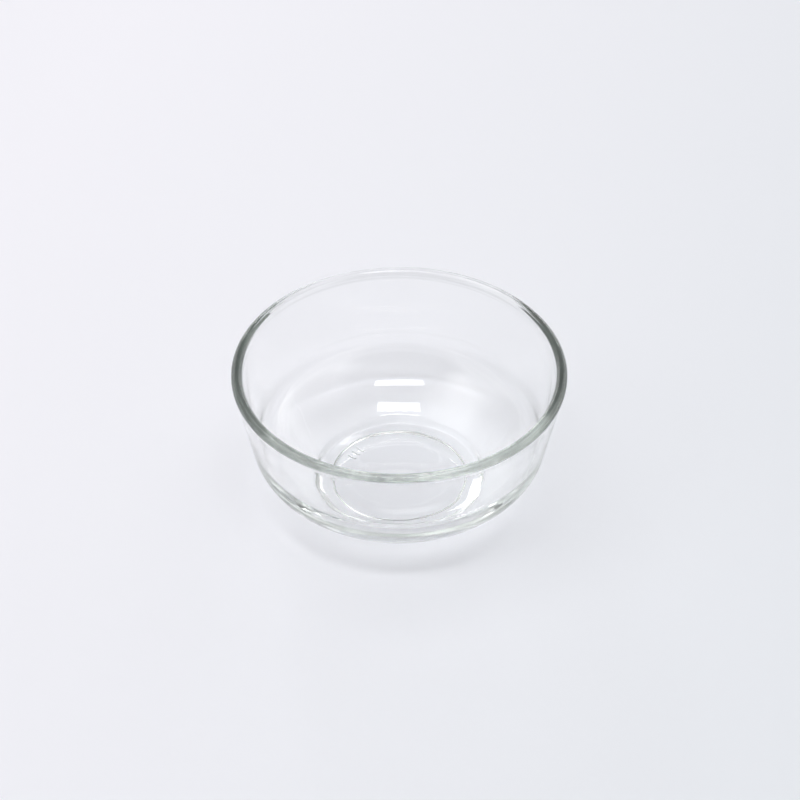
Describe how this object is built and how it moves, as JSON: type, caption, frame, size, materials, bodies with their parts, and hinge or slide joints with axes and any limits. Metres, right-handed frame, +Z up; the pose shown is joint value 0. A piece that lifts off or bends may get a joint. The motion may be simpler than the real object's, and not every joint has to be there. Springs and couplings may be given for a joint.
{
  "type": "glass bowl",
  "caption": "Small round clear pressed-glass bowl with a straight leaning wall, a thick rounded rim, a rounded heel and a foot ring round a recessed base.",
  "frame": {"origin": "centre of the ring that the bowl stands on, at the table", "axes": "+Z up along the bowl's axis; +X and +Y are any two square directions across the round bowl"},
  "size_m": [0.11, 0.11, 0.0498],
  "materials": {
    "clear_glass": "clear pressed glass, fire-polished, with a faint grey-green tint where it is thick"
  },
  "bodies": {
    "root": {"bowl": "clear_glass"}
  },
  "joints": []
}
